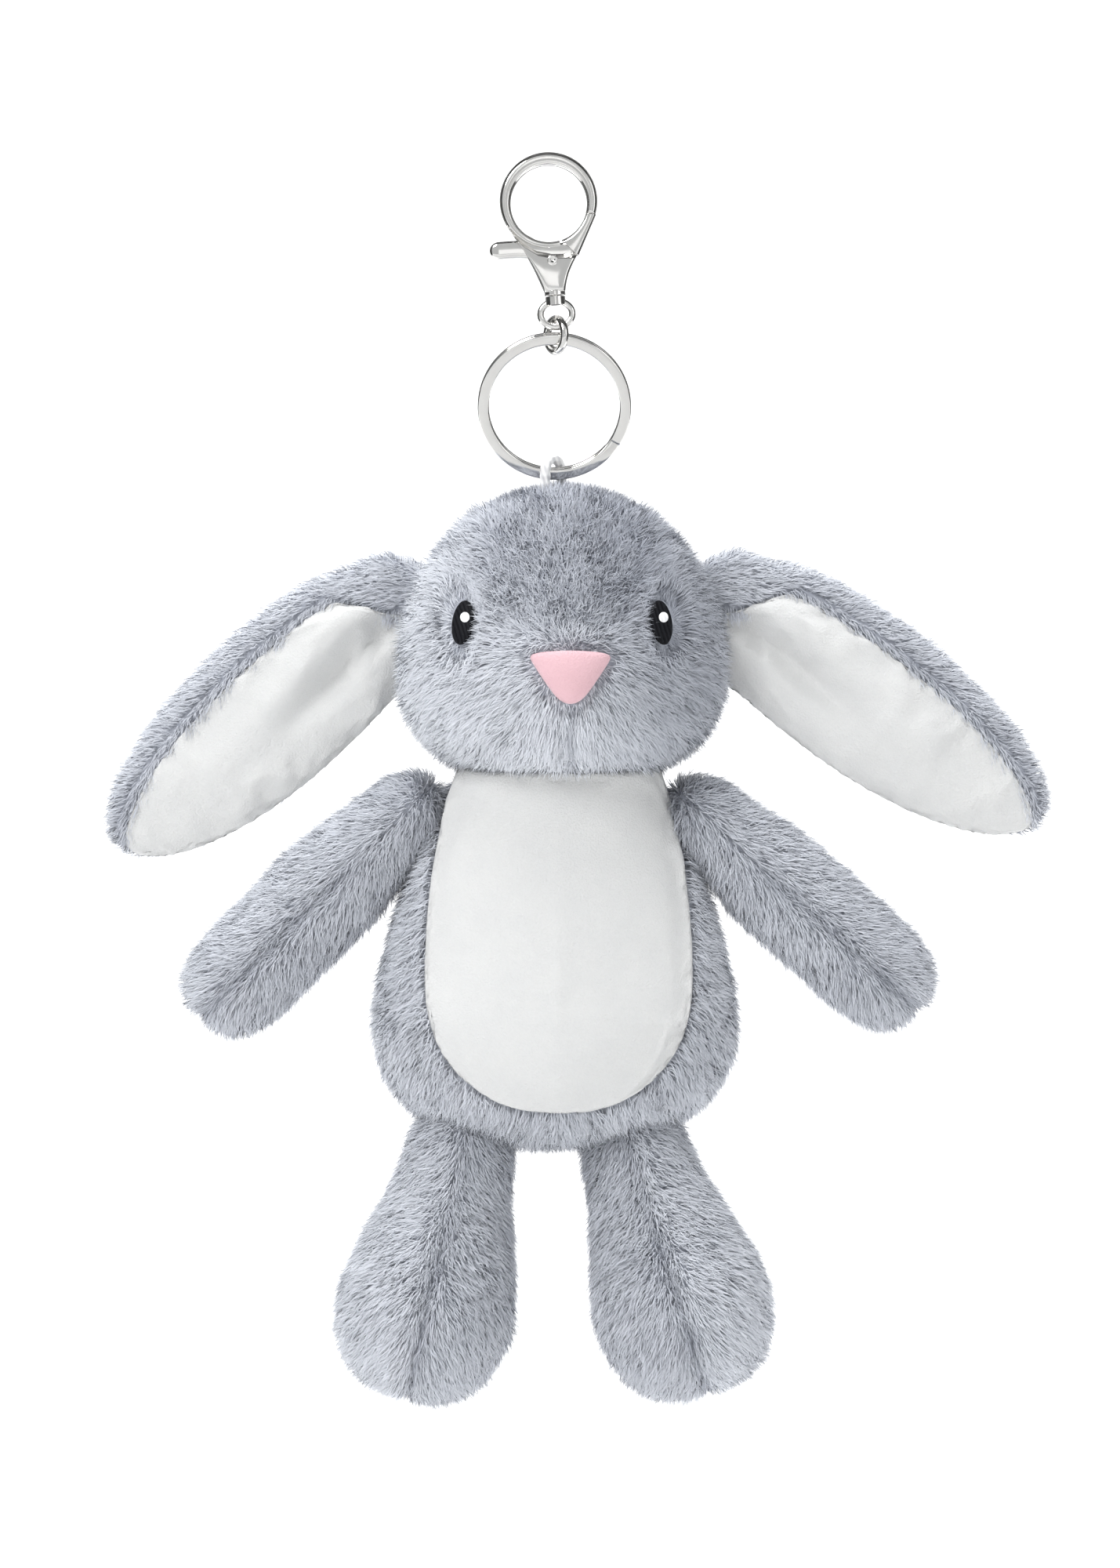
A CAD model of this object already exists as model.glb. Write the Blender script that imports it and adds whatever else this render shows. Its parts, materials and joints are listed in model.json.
import json
import math

import bpy
import numpy as np
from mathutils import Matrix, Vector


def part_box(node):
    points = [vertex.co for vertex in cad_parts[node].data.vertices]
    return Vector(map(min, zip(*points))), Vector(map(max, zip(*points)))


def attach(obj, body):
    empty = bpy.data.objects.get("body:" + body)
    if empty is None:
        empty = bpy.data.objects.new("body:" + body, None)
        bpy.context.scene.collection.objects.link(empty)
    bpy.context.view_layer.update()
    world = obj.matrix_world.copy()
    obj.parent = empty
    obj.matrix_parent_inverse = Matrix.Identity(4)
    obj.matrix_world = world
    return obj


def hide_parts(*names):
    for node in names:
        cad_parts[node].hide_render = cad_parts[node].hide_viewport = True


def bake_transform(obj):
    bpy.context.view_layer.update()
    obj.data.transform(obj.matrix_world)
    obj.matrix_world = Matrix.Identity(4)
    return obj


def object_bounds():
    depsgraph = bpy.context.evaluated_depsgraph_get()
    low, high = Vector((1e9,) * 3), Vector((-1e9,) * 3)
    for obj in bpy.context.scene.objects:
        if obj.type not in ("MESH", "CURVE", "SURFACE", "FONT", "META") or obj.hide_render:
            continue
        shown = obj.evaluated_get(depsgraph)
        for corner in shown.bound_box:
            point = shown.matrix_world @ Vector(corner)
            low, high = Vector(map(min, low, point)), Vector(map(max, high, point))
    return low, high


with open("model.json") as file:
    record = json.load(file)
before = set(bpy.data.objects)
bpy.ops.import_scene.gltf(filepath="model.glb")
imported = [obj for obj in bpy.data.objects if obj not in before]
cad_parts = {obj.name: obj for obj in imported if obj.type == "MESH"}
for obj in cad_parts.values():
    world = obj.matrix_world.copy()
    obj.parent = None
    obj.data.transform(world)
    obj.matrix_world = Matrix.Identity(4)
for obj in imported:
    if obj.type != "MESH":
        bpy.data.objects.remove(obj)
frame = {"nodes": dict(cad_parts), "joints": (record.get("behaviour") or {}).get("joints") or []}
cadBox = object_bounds()

# Plush rabbit on a split ring and a swivel clasp. Metres; +X right, +Z up, the face looks along -Y.

mm = 0.001
right = np.array((1.0, 0.0, 0.0))
back = np.array((0.0, 1.0, 0.0))
up = np.array((0.0, 0.0, 1.0))
sides = ((-1, "left"), (1, "right"))


def span(*nodes):
    # lowest and highest corner of several CAD nodes together
    corners = [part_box(node) for node in nodes]
    low = np.min([np.array(c[0]) for c in corners], axis=0)
    high = np.max([np.array(c[1]) for c in corners], axis=0)
    return low, high


def jointOf(name):
    # place and axis of a joint
    found = [j for j in frame["joints"] if j["name"] == name][0]
    return np.array(found["pos_m"]), np.array(found["axis"])


def unit(vectors):
    return vectors / np.maximum(np.linalg.norm(vectors, axis=-1, keepdims=True), 1e-12)


def smooth(x, low, high):
    # a step from 0 at low to 1 at high with soft shoulders
    t = np.clip((x - low) / (high - low), 0, 1)
    return t * t * (3 - 2 * t)


def waves(points, length, seed):
    # sum of sixteen plane waves of about one length in random directions, roughly -1 to 1
    draw = np.random.default_rng(seed)
    direction = unit(draw.normal(size=(16, 3)))
    pitch = 2 * math.pi / (length * draw.uniform(0.7, 1.4, 16))
    phase = draw.uniform(0, 2 * math.pi, 16)
    return np.sin(points @ (direction * pitch[:, None]).T + phase).sum(-1) / 4


class Link:
    # one output socket; an operator on it adds the Math node that does the sum
    def __init__(self, paint, socket):
        self.paint = paint
        self.socket = socket

    def sum(self, operation, first, second):
        return self.paint.node("ShaderNodeMath", {"operation": operation}, {0: first, 1: second})

    def __add__(self, other):
        return self.sum("ADD", self, other)

    def __radd__(self, other):
        return self.sum("ADD", other, self)

    def __sub__(self, other):
        return self.sum("SUBTRACT", self, other)

    def __rsub__(self, other):
        return self.sum("SUBTRACT", other, self)

    def __mul__(self, other):
        return self.sum("MULTIPLY", self, other)

    def __rmul__(self, other):
        return self.sum("MULTIPLY", other, self)


class Paint:
    # one material: a Principled shader and the nodes that feed it
    def __init__(self, name, **constants):
        self.material = bpy.data.materials.new(name)
        self.material.use_nodes = True
        self.tree = self.material.node_tree
        self.shader = self.tree.nodes["Principled BSDF"]
        for socket, value in constants.items():
            self.shader.inputs[socket.replace("_", " ")].default_value = value

    def node(self, kind, settings, values, output=0):
        made = self.tree.nodes.new(kind)
        for key, value in settings.items():
            setattr(made, key, value)
        for key, value in values.items():
            if isinstance(value, Link):
                self.tree.links.new(value.socket, made.inputs[key])
            else:
                made.inputs[key].default_value = value
        return Link(self, made.outputs[output])

    def feed(self, socket, value):
        self.tree.links.new(value.socket, self.shader.inputs[socket])

    def place(self):
        return self.node("ShaderNodeTexCoord", {}, {}, "Object")

    def noise(self, scale, detail=3.0, stretch=(1, 1, 1)):
        where = self.node("ShaderNodeMapping", {}, {"Vector": self.place(), "Scale": stretch})
        values = {"Vector": where, "Scale": scale, "Detail": detail}
        return self.node("ShaderNodeTexNoise", {}, values, "Fac")

    def blend(self, amount, first, second):
        settings = {"data_type": "RGBA", "clamp_factor": True}
        return self.node("ShaderNodeMix", settings, {0: amount, 6: first, 7: second}, 2)

    def bump(self, height, strength, distance):
        values = {"Height": height, "Strength": strength, "Distance": distance}
        self.feed("Normal", self.node("ShaderNodeBump", {}, values))


def furPaint(name, dark, light):
    # pile: dark between the roots, light at the tips, and a slow drift of colour over the cloth
    sheen = {"Sheen_Weight": 0.25, "Sheen_Roughness": 0.5}
    paint = Paint(name, Roughness=0.85, Specular_IOR_Level=0.2, **sheen)
    tone = paint.node("ShaderNodeAttribute", {"attribute_name": "tone"}, {}, "Fac")
    drift = paint.noise(130.0) * 0.24 - 0.12
    paint.feed("Base Color", paint.blend(tone + drift, (*dark, 1), (*light, 1)))
    return paint.material


def velourPaint(name, base, shade):
    # short velvet: a fine nap, brushed into soft patches
    sheen = {"Sheen_Weight": 0.3, "Sheen_Roughness": 0.4}
    paint = Paint(name, Roughness=0.9, Specular_IOR_Level=0.1, **sheen)
    nap = paint.noise(2600.0, 2.0)
    brushed = paint.noise(170.0, 2.0)
    paint.feed("Base Color", paint.blend(brushed * 0.5 + nap * 0.5, (*shade, 1), (*base, 1)))
    paint.bump(nap + brushed * 0.8, 0.55, 0.35 * mm)
    return paint.material


def chromePaint(name, base, rough):
    # bright nickel plate with faint polishing haze
    paint = Paint(name, Metallic=1.0)
    haze = paint.noise(700.0, 4.0)
    fine = paint.noise(5200.0, 2.0)
    paint.feed("Base Color", paint.blend(haze, (*[0.92 * c for c in base], 1), (*base, 1)))
    paint.feed("Roughness", haze * 0.1 + rough)
    paint.bump(fine, 0.05, 0.02 * mm)
    return paint.material


def threadPaint(name, base, shade, pitch):
    # satin stitch: close parallel threads laid side by side
    paint = Paint(name, Roughness=0.6, Specular_IOR_Level=0.12)
    where = paint.node("ShaderNodeMapping", {}, {"Vector": paint.place(), "Rotation": (0, 0.3, 0)})
    values = {"Vector": where, "Scale": pitch, "Distortion": 0.8, "Detail": 1.0}
    threads = paint.node("ShaderNodeTexWave", {"bands_direction": "X"}, values, "Fac")
    paint.feed("Base Color", paint.blend(threads, (*shade, 1), (*base, 1)))
    paint.bump(threads, 0.6, 0.15 * mm)
    return paint.material


paints = {
    "fur": furPaint("greyPile", (0.34, 0.36, 0.415), (0.84, 0.865, 0.915)),
    "whiteFur": furPaint("whitePile", (0.55, 0.55, 0.56), (0.92, 0.92, 0.92)),
    "velour": velourPaint("whiteVelour", (0.655, 0.655, 0.645), (0.565, 0.57, 0.575)),
    "nose": velourPaint("pinkVelour", (0.71, 0.475, 0.51), (0.64, 0.405, 0.445)),
    "chrome": chromePaint("nickelPlate", (0.86, 0.85, 0.83), 0.07),
    "steel": chromePaint("springSteel", (0.55, 0.55, 0.55), 0.25),
    "black": threadPaint("blackThread", (0.011, 0.012, 0.015), (0.004, 0.004, 0.006), 420.0),
    "white": threadPaint("whiteThread", (0.93, 0.93, 0.93), (0.75, 0.76, 0.78), 420.0),
    "cord": threadPaint("whiteCord", (0.90, 0.90, 0.895), (0.66, 0.66, 0.67), 300.0),
}
print("paints made")


def linked(name, data):
    # an object at the origin that holds a mesh, a lamp or a camera
    made = bpy.data.objects.new(name, data)
    bpy.context.scene.collection.objects.link(made)
    return made


def show(name, mesh, paint, body, replaced):
    # a piece of the toy: its paint, its slot, the CAD nodes it stands for and the body it rides
    mesh.materials.append(paints[paint])
    piece = linked(name, mesh)
    if replaced:
        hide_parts(*replaced)
    if body:
        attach(piece, body)
    return piece


def addPiece(name, vertices, faces, paint, body, replaced=()):
    # puts a finished surface into the scene, turned outwards, in its paint and on its body
    mesh = bpy.data.meshes.new(name)
    mesh.from_pydata(np.asarray(vertices, float).tolist(), [], faces)
    mesh.validate()
    mesh.calc_loop_triangles()
    triangles = np.zeros(len(mesh.loop_triangles) * 3, np.int32)
    mesh.loop_triangles.foreach_get("vertices", triangles)
    a, b, c = np.asarray(vertices, float)[triangles.reshape(-1, 3)].transpose(1, 0, 2)
    middle = np.asarray(vertices, float).mean(0)
    if (np.cross(a - middle, b - middle) * (c - middle)).sum() < 0:
        mesh.flip_normals()
    mesh.polygons.foreach_set("use_smooth", np.ones(len(mesh.polygons), bool))
    return show(name, mesh, paint, body, replaced)


def closedSkin(rows):
    # a grid of rings from one pole to the other: quads between the rings, a fan at each pole
    count, around = rows.shape[0] - 2, rows.shape[1]
    vertices = np.concatenate([rows[:1, 0], rows[1:-1].reshape(-1, 3), rows[-1:, 0]])
    ring = np.arange(around)
    after = (ring + 1) % around
    first = 1 + np.arange(count - 1)[:, None] * around
    beyond = first + around
    quads = np.stack([first + ring, first + after, beyond + after, beyond + ring], -1)
    last = len(vertices) - 1
    end = 1 + (count - 1) * around
    faces = quads.reshape(-1, 4).tolist()
    faces += np.stack([np.zeros(around, int), 1 + after, 1 + ring], -1).tolist()
    faces += np.stack([np.full(around, last), end + ring, end + after], -1).tolist()
    return vertices, faces


def capped(rows):
    # rings with a pole added at the middle of the first and of the last one
    poles = rows[[0, -1]].mean(1, keepdims=True) + 0 * rows[[0, -1]]
    return np.concatenate([poles[:1], rows, poles[1:]])


def pinched(rows):
    # rings whose first and last are drawn together to a pole
    rows[0] = rows[0].mean(0)
    rows[-1] = rows[-1].mean(0)
    return rows


def sleeve(middle, across, deep, half, depth, around=72, power=2.0):
    # rings round a line: middle (n, 3), across and deep are unit directions, half and depth (n,)
    angle = np.linspace(0, 2 * math.pi, around, endpoint=False)
    x = np.sign(np.sin(angle)) * np.abs(np.sin(angle)) ** (2 / power)
    y = np.sign(np.cos(angle)) * np.abs(np.cos(angle)) ** (2 / power)
    side = half[:, None, None] * x[None, :, None] * across
    front = depth[:, None, None] * y[None, :, None] * deep
    return middle[:, None, :] + side + front


def tube(path, profile):
    # a profile (m, 2) carried along a path (n, 3), turned as little as possible from ring to ring
    ahead = unit(np.gradient(path, axis=0))
    normal = np.zeros_like(path)
    start = np.cross(ahead[0], back)
    normal[0] = unit(start if np.linalg.norm(start) > 0.1 else np.cross(ahead[0], up))
    for k in range(1, len(path)):
        kept = normal[k - 1] - ahead[k] * (normal[k - 1] @ ahead[k])
        normal[k] = unit(kept)
    binormal = np.cross(ahead, normal)
    spread = profile if profile.ndim == 3 else np.broadcast_to(profile, (len(path), *profile.shape))
    rings = path[:, None] + spread[..., :1] * normal[:, None] + spread[..., 1:] * binormal[:, None]
    poles = np.repeat(path[[0, -1], None], rings.shape[1], 1)
    return np.concatenate([poles[:1], rings, poles[1:]])


furLook = {
    "width": 0.105 * mm,
    "rootSink": 0.4 * mm,
    "perSquare": 9e6,
    "quickShare": 0.35,
    "roll": 1.1,
}


def surfaceOf(piece):
    # triangles of a finished piece, with modifiers, and a normal at each vertex
    evaluated = piece.evaluated_get(bpy.context.evaluated_depsgraph_get())
    mesh = evaluated.to_mesh()
    mesh.calc_loop_triangles()
    places = np.zeros(len(mesh.vertices) * 3)
    mesh.vertices.foreach_get("co", places)
    triangles = np.zeros(len(mesh.loop_triangles) * 3, np.int32)
    mesh.loop_triangles.foreach_get("vertices", triangles)
    normals = np.zeros(len(mesh.vertices) * 3)
    mesh.vertex_normals.foreach_get("vector", normals)
    evaluated.to_mesh_clear()
    return places.reshape(-1, 3), triangles.reshape(-1, 3), normals.reshape(-1, 3)


def growFur(name, skin, body, rule, seed, replaced=(), paint="fur", dense=1.0):
    # pile as tapered blades of three triangles. rule(points, normals) gives for each root the
    # share of hairs kept, the direction it is combed to, its length and its lightness
    places, triangles, normals = surfaceOf(skin)
    draw = np.random.default_rng(seed)
    a, b, c = places[triangles].transpose(1, 0, 2)
    area = np.linalg.norm(np.cross(b - a, c - a), axis=1) / 2
    count = int(area.sum() * furLook["perSquare"] * dense)
    picked = draw.choice(len(area), count, p=area / area.sum())
    s, t = draw.random((2, count))
    over = s + t > 1
    s[over], t[over] = 1 - s[over], 1 - t[over]
    weights = np.stack([1 - s - t, s, t], -1)[..., None]
    root = (places[triangles[picked]] * weights).sum(1)
    normal = unit((normals[triangles[picked]] * weights).sum(1))
    kept, comb, pile, light = rule(root, normal)
    chosen = draw.random(count) < kept
    root, normal, comb, pile, light = (v[chosen] for v in (root, normal, comb, pile, light))
    count = len(root)
    comb = comb - normal * (comb * normal).sum(-1, keepdims=True)
    # locks: hairs that stand near each other lean the same way, and each a little its own
    lean = np.stack([waves(root, 3.2 * mm, seed + k) for k in (1, 2, 3)], -1)
    wide = np.stack([waves(root, 9 * mm, seed + k) for k in (4, 5, 6)], -1)
    own = draw.normal(size=(count, 3))
    first = unit(normal + 0.5 * comb + 0.05 * lean + 0.10 * wide + 0.16 * own)
    second = unit(0.42 * normal + 1.15 * comb + 0.07 * lean + 0.14 * wide + 0.26 * own)
    length = (pile * draw.uniform(0.72, 1.08, count))[:, None]
    width = furLook["width"] * draw.uniform(0.75, 1.25, count)[:, None]
    flat = unit(np.cross(first, normal + 0.02 * own))
    roll = draw.uniform(-furLook["roll"], furLook["roll"], count)[:, None]
    flat = unit(flat * np.cos(roll) + np.cross(first, flat) * np.sin(roll))
    facing = np.cross(first, flat)
    flat = np.where((facing * normal).sum(-1, keepdims=True) < 0, flat, -flat)
    facing = np.cross(flat, first)
    base = root - normal * furLook["rootSink"]
    middle = base + first * length * 0.5
    tip = middle + second * length * 0.55
    points = np.stack(
        [base - flat * width, base + flat * width, middle - flat * width * 0.8,
         middle + flat * width * 0.8, tip], 1
    ).reshape(-1, 3)
    corner = np.arange(count)[:, None] * 5
    faces = np.concatenate([corner + [0, 1, 3], corner + [0, 3, 2], corner + [2, 3, 4]], 1)
    mesh = bpy.data.meshes.new(name)
    mesh.vertices.add(count * 5)
    mesh.vertices.foreach_set("co", points.astype(np.float32).ravel())
    mesh.loops.add(count * 9)
    mesh.loops.foreach_set("vertex_index", faces.astype(np.int32).ravel())
    mesh.polygons.add(count * 3)
    mesh.polygons.foreach_set("loop_start", np.arange(count * 3, dtype=np.int32) * 3)
    mesh.polygons.foreach_set("use_smooth", np.ones(count * 3, bool))
    mesh.update(calc_edges=True)
    hairTone = light + draw.normal(0, 0.06, count) + 0.035 * waves(root, 2.4 * mm, seed + 7)
    along = np.array((-0.20, -0.20, 0.02, 0.02, 0.13))
    attribute = mesh.attributes.new("tone", "FLOAT", "POINT")
    values = np.clip(0.55 + hairTone[:, None] + along, 0.0, 1.0)
    attribute.data.foreach_set("value", values.astype(np.float32).ravel())
    shading = unit(normal * 0.75 + facing * 0.35 + second * 0.15)
    mesh.normals_split_custom_set_from_vertices(np.repeat(shading, 5, 0))
    print(f"{name}: {count} hairs")
    return show(name, mesh, paint, body, replaced)


def rule(kept, comb, pile, light, count):
    # broadcasts the four answers of a fur rule to one value for each root
    return (
        np.broadcast_to(kept, count).astype(float),
        np.broadcast_to(comb, (count, 3)).astype(float),
        np.broadcast_to(pile, count).astype(float),
        np.broadcast_to(light, count).astype(float),
    )


def puff(piece, pinned, pressure=4.0, extra=0.05, cap=1.1 * mm):
    # sewn cloth under stuffing: it is blown out a little, with spare cloth to wrinkle, held at its
    # seam, and no point moves further than the cap
    mesh = piece.data
    still = np.zeros(len(mesh.vertices) * 3)
    mesh.vertices.foreach_get("co", still)
    still = still.reshape(-1, 3)
    worker = linked(piece.name + "_cloth", mesh.copy())
    group = worker.vertex_groups.new(name="seam")
    group.add(np.flatnonzero(pinned).tolist(), 1.0, "REPLACE")
    cloth = worker.modifiers.new("cloth", "CLOTH")
    cloth.settings.quality = 6
    cloth.settings.mass = 0.15
    cloth.settings.tension_stiffness = cloth.settings.compression_stiffness = 12
    cloth.settings.bending_stiffness = 0.05
    cloth.settings.shrink_min = -extra
    cloth.settings.use_pressure = True
    cloth.settings.uniform_pressure_force = pressure
    cloth.settings.vertex_group_mass = "seam"
    cloth.settings.effector_weights.gravity = 0
    cloth.point_cache.frame_start, cloth.point_cache.frame_end = 1, 20
    for step in range(1, 21):
        bpy.context.scene.frame_set(step)
    shaped = worker.evaluated_get(bpy.context.evaluated_depsgraph_get())
    moved = np.zeros(len(shaped.data.vertices) * 3)
    shaped.data.vertices.foreach_get("co", moved)
    shift = np.nan_to_num(moved.reshape(-1, 3) - still)
    far = np.linalg.norm(shift, axis=1, keepdims=True)
    print(f"{piece.name}: cloth moved up to {far.max() / mm:.2f} mm")
    shift = shift * (cap * np.tanh(far / cap) / np.maximum(far, 1e-9))
    mesh.vertices.foreach_set("co", (still + shift).ravel())
    mesh.update()
    bpy.data.objects.remove(worker)
    bpy.context.scene.frame_set(1)


skinShade = 0.12


def addSkin(name, rows, body, replaced, paint="fur"):
    # the backing cloth over the stuffing, under the pile
    vertices, faces = closedSkin(rows)
    piece = addPiece(name, vertices, faces, paint, body, replaced)
    if paint in ("fur", "whiteFur"):
        attribute = piece.data.attributes.new("tone", "FLOAT", "POINT")
        attribute.data.foreach_set("value", np.full(len(vertices), skinShade, np.float32))
    return piece


headLow, headHigh = span("head_panel_left", "head_panel_right", "head_gusset")
eyeBox = {name: span(f"eye_{name}") for _, name in sides}
noseLow, noseHigh = span("nose")

head = {
    "pileRoom": 2.3 * mm,
    "widestRise": 22.1 / 58.6,
    "bottomPower": 2.4,
    "muzzle": 3.0 * mm,
    "muzzleWide": 15 * mm,
    "seamDepth": 1.3 * mm,
    "seamWide": 1.1 * mm,
    "pile": 4.4 * mm,
    "gussetPile": 3.4 * mm,
    "gussetHalf": 14 * mm,
    "noseWide": 1.13,
    "leftTone": 0.11,
    "rightTone": -0.40,
}
headX, headY = (headLow[:2] + headHigh[:2]) / 2
headWide = headHigh[0] - headX - head["pileRoom"] + 1 * mm
headDeep = headHigh[1] - headY - head["pileRoom"] + 0.5 * mm
headTop = headHigh[2] - head["pileRoom"] + 0.9 * mm
headBottom = headLow[2] + head["pileRoom"] - 0.9 * mm
headZ = headBottom + (headTop - headBottom) * head["widestRise"]
noseAt = np.array((noseLow[0] + noseHigh[0], 0, noseLow[2] + noseHigh[2])) / 2
mouthZ = noseLow[2]


def headSize(z):
    # share of the head's width at a height: a circle above the widest level, squarer below
    upper = np.clip((z - headZ) / (headTop - headZ), 0, 1)
    lower = np.clip((headZ - z) / (headZ - headBottom), 0, 1)
    power = head["bottomPower"]
    return np.sqrt(1 - upper**2) * (1 - lower**power) ** (1 / power)


def headBulge(x, z):
    # how far the muzzle stands forward, less the seam that runs down from the nose
    reach = ((x - noseAt[0]) ** 2 + (z - noseAt[2]) ** 2) / head["muzzleWide"] ** 2
    seam = np.exp(-(((x - noseAt[0]) / head["seamWide"]) ** 2)) * smooth(mouthZ - z, 0, 2 * mm)
    brow = np.exp(-reach)
    return head["muzzle"] * brow - head["seamDepth"] * seam * smooth(z - headBottom, 0, 4 * mm)


def headFront(x, z):
    # the skin's front at a place of the face
    share = np.maximum(headSize(z), 1e-6)
    level = np.clip((x - headX) / (headWide * share), -0.995, 0.995)
    return headY - headDeep * share * np.sqrt(1 - level**2) - headBulge(x, z)


def headSkin():
    rise = np.linspace(0, math.pi, 74)
    z = np.where(
        rise < math.pi / 2,
        headZ + (headTop - headZ) * np.cos(rise),
        headZ + (headZ - headBottom) * np.cos(rise),
    )
    share = headSize(z)
    middle = np.stack([np.full(74, headX), np.full(74, headY), z], -1)
    rows = sleeve(middle, right, -back, headWide * share, headDeep * share, 144)
    forward = smooth((headY - rows[..., 1]) / headDeep, 0.1, 0.5)
    rows[..., 1] -= headBulge(rows[..., 0], rows[..., 2]) * forward
    return addSkin("head_skin", rows, "head", ("head_stuffing",))


def inEye(points, grow):
    # 1 inside either eye's oval, grown by a length
    inside = np.zeros(len(points), bool)
    for low, high in eyeBox.values():
        middle, half = (low + high) / 2, (high - low) / 2 + grow
        across, _, rise = ((points - middle) / half).T
        inside |= (across**2 + rise**2 < 1) & (points[:, 1] < headY)
    return inside


def awayFromEyes(points):
    # direction away from the nearer eye, and how strongly the pile is brushed that way
    off, close = np.zeros((len(points), 3)), np.zeros((len(points), 1))
    for low, high in eyeBox.values():
        middle, half = (low + high) / 2, (high - low) / 2
        gap = (points - middle) * (1, 0, 1)
        reach = np.linalg.norm(gap / (half[0], 1, half[2]), axis=1)
        near = (smooth(2.4 - reach, 0, 1.0) * (points[:, 1] < headY))[:, None]
        off = off + unit(gap) * (near > 0)
        close = np.maximum(close, near)
    return off, close


def noseHalf(z, grow=0.0):
    # half width of the nose at a height: nearly straight sides that meet in a round point
    t = np.clip((z - noseLow[2] + grow) / (noseHigh[2] - noseLow[2] + 2 * grow), 0, 1)
    top = (noseHigh[0] - noseLow[0]) / 2 * head["noseWide"] + grow
    ends = np.sqrt(np.maximum(1 - (2 * t - 1) ** 10, 0)) * (t > 0) * (t < 1)
    return top * (0.16 + 0.84 * t**0.85) * ends


def headFur(panel):
    # combed away from the nose over the cheeks, and nearly upright on the forehead gusset
    def answer(points, normals):
        x, z = points[:, 0] - headX, points[:, 2]
        front = points[:, 1] < headY
        half = head["gussetHalf"] - 4 * mm * smooth(headZ + 16 * mm - z, 0, 12 * mm)
        brow = headZ + 6.5 * mm
        gusset = (np.abs(x) < half) & (z > brow)
        gusset |= (np.abs(x) < head["gussetHalf"]) & ~front & (z > headZ)
        kept = gusset if panel == "gusset" else ~gusset & ((x < 0) == (panel == "left"))
        overNose = np.abs(points[:, 0] - noseAt[0]) < noseHalf(z, -0.3 * mm)
        kept = kept & ~inEye(points, -0.2 * mm) & ~(overNose & front)
        away = np.stack([points[:, 0] - noseAt[0], 0 * x, z - noseAt[2]], -1)
        far = np.linalg.norm(away, axis=1)
        away = unit(away) * smooth(far, 2 * mm, 9 * mm)[:, None]
        chin = smooth(mouthZ - z, -6 * mm, 4 * mm)
        comb = 0.75 * away - up * (0.5 - 0.1 * chin[:, None])
        comb = np.where(front[:, None], comb, -0.8 * up + 0.3 * np.sign(x)[:, None] * right)
        if panel == "gusset":
            comb = comb * 0.3 + up * 0.05
        off, close = awayFromEyes(points)
        comb = comb * (1 - close) + off * close
        nearEye = inEye(points, 1.6 * mm)
        nearNose = (np.abs(points[:, 0] - noseAt[0]) < noseHalf(z, 1.2 * mm)) & front
        pile = np.full(len(points), head["gussetPile"] if panel == "gusset" else head["pile"])
        pile = pile * np.where(nearEye | nearNose, 0.5, 1.0)
        seam = np.exp(-((points[:, 0] - noseAt[0]) / (0.9 * mm)) ** 2) * (z < mouthZ) * front
        light = 0.1 * smooth(headZ + 10 * mm - z, 0, 25 * mm) - 0.35 * seam
        turned = smooth(x, -1 * mm, 24 * mm)
        light = light + head["leftTone"] * (1 - turned) + head["rightTone"] * turned
        crownTone = smooth(z, headZ + 8 * mm, headZ + 30 * mm)
        border = smooth(half - np.abs(x), -9 * mm, 6 * mm) * smooth(z - brow, -4 * mm, 5 * mm)
        light = light - 0.16 * crownTone * (1 - turned) - 0.36 * border * front - 0.07 * nearEye
        if panel == "gusset":
            speckle = waves(points, 1.1 * mm, 14) + waves(points, 0.7 * mm, 15)
            light = light + 0.11 * speckle
        return rule(kept, comb, pile, light, len(points))
    return answer


headPiece = headSkin()
growFur("fur_gusset", headPiece, "head", headFur("gusset"), 11, ("head_gusset",), dense=1.25)
growFur("fur_cheek_left", headPiece, "head", headFur("left"), 12, ("head_panel_left",))
growFur("fur_cheek_right", headPiece, "head", headFur("right"), 13, ("head_panel_right",))


def domeOnFace(name, x, z, halfX, halfZ, lift, crown, paint, node, lean=0.0):
    # an oval pad that lies on the face, crowned in its middle; its back is sunk under the pile
    radius = np.concatenate([np.linspace(0, 1, 22), np.linspace(1, 0, 6)[1:]])
    front = np.concatenate([np.ones(22), np.zeros(5)])[:, None]
    angle = np.linspace(0, 2 * math.pi, 64, endpoint=False)
    across = halfX * radius[:, None] * np.cos(angle)
    rise = halfZ * radius[:, None] * np.sin(angle)
    placeX = x + across * math.cos(lean) + rise * math.sin(lean)
    placeZ = z - across * math.sin(lean) + rise * math.cos(lean)
    high = lift + crown * np.sqrt(1 - np.minimum(radius[:, None], 1) ** 2.6)
    y = headFront(placeX, placeZ) - np.where(front > 0, high, lift - 1.4 * mm)
    rows = np.stack([placeX, y, placeZ], -1)
    vertices, faces = closedSkin(rows)
    return addPiece(name, vertices, faces, paint, "head", (node,))


eye = {"lift": 2.2 * mm, "crown": 0.9 * mm, "lean": 0.14, "glintX": 0.95 * mm, "glintZ": 1.05 * mm}
for side, name in sides:
    low, high = eyeBox[name]
    middle, half = (low + high) / 2, (high - low) / 2
    x, z = middle[0], middle[2]
    domeOnFace(f"eye_patch_{name}", x, z, half[0] * 0.98, half[2], eye["lift"], eye["crown"],
               "black", f"eye_{name}", -side * eye["lean"])
    glintLow, glintHigh = span(f"eye_glint_{name}")
    glint = (glintLow + glintHigh) / 2
    domeOnFace(f"eye_light_{name}", glint[0], glint[2], eye["glintX"], eye["glintZ"],
               eye["lift"] + 0.75 * mm, 0.35 * mm, "white", f"eye_glint_{name}")


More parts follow.
